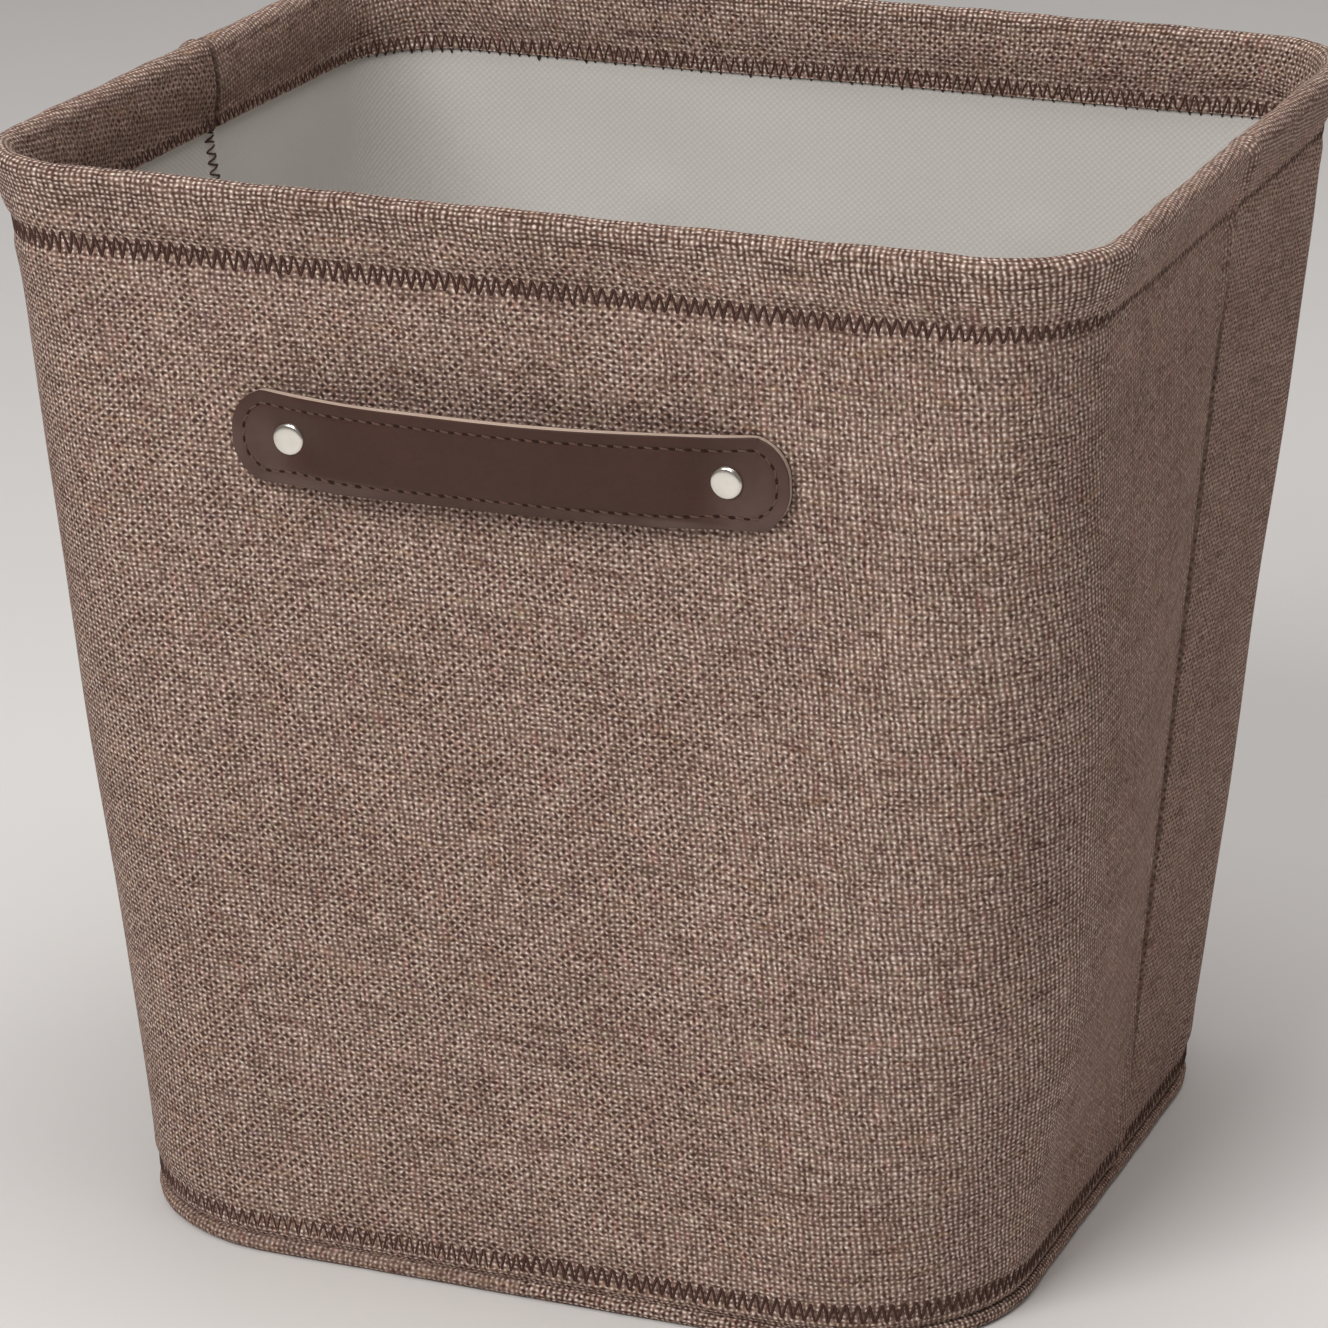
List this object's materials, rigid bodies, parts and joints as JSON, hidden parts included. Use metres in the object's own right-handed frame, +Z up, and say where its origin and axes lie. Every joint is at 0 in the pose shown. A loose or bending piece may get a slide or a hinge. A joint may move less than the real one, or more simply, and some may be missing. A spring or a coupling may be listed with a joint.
{
  "type": "fabric storage bin",
  "caption": "Open-topped tapered fabric storage bin with a wire rim, pale lining, zigzag-stitched hems, riveted strap handles and a lift-out base board; it presses down flat for storage.",
  "frame": {"origin": "middle of the underside, on the surface the bin stands on", "axes": "+Z up, +X to the right along the wide side, front handle at -Y"},
  "size_m": [0.352, 0.3154, 0.343],
  "materials": {
    "melange_fabric": "coarse plain weave of beige and dark brown yarn",
    "pale_lining": "coated lining with a fine diagonal emboss",
    "brown_thread": "polyester sewing thread",
    "spring_wire": "drawn spring wire",
    "ferrule_metal": "crimped sleeve",
    "strap_leather": "smooth coated leather, semi-matt",
    "strap_core": "raw cut edge of the strap's pale core",
    "rivet_nickel": "polished nickel plating",
    "fibreboard": "pressed fibreboard"
  },
  "bodies": {
    "bin_body": {"front_panel": "melange_fabric", "back_panel": "melange_fabric", "front_lining": "pale_lining", "back_lining": "pale_lining", "left_seam_stitch": "brown_thread", "right_seam_stitch": "brown_thread", "base_edge_roll": "melange_fabric", "base_wire": "spring_wire", "base_wire_ferrule": "ferrule_metal", "base_panel": "melange_fabric", "base_lining": "pale_lining", "base_stitch": "brown_thread"},
    "rim": {"front_hem": "melange_fabric", "back_hem": "melange_fabric", "rim_wire": "spring_wire", "rim_wire_ferrule": "ferrule_metal", "rim_stitch_outer": "brown_thread", "rim_stitch_inner": "brown_thread", "front_rivets": "rivet_nickel", "front_rivet_backs": "rivet_nickel", "back_rivets": "rivet_nickel", "back_rivet_backs": "rivet_nickel"},
    "front_strap": {"front_strap_face": "strap_leather", "front_strap_core": "strap_core", "front_strap_backing": "strap_leather", "front_strap_stitch": "brown_thread"},
    "back_strap": {"back_strap_face": "strap_leather", "back_strap_core": "strap_core", "back_strap_backing": "strap_leather", "back_strap_stitch": "brown_thread"},
    "base_insert": {"base_board": "fibreboard", "base_board_cover": "pale_lining"}
  },
  "joints": [
    {"name": "rim_collapse", "type": "slide", "parent": "bin_body", "child": "rim", "axis": [0, 0, -1], "range_m": [0, 0.205], "deforming": ["front_panel", "back_panel", "front_lining", "back_lining", "left_seam_stitch", "right_seam_stitch"]},
    {"name": "front_handle_tilt", "type": "hinge", "parent": "rim", "child": "front_strap", "pos_m": [0.0014, -0.14812, 0.2696], "axis": [0.9998, -0.0005, 0.0183], "range_deg": [-20, 20], "stiffness_Nm_per_rad": 0.06, "deforming": ["front_strap_face", "front_strap_core", "front_strap_backing", "front_strap_stitch"]},
    {"name": "back_handle_tilt", "type": "hinge", "parent": "rim", "child": "back_strap", "pos_m": [0, 0.14809, 0.2684], "axis": [-1, 0, 0], "range_deg": [-20, 20], "stiffness_Nm_per_rad": 0.06, "deforming": ["back_strap_face", "back_strap_core", "back_strap_backing", "back_strap_stitch"]},
    {"name": "base_board_lift", "type": "slide", "parent": "bin_body", "child": "base_insert", "axis": [0, 0, 1], "range_m": [0, 0.36]}
  ]
}
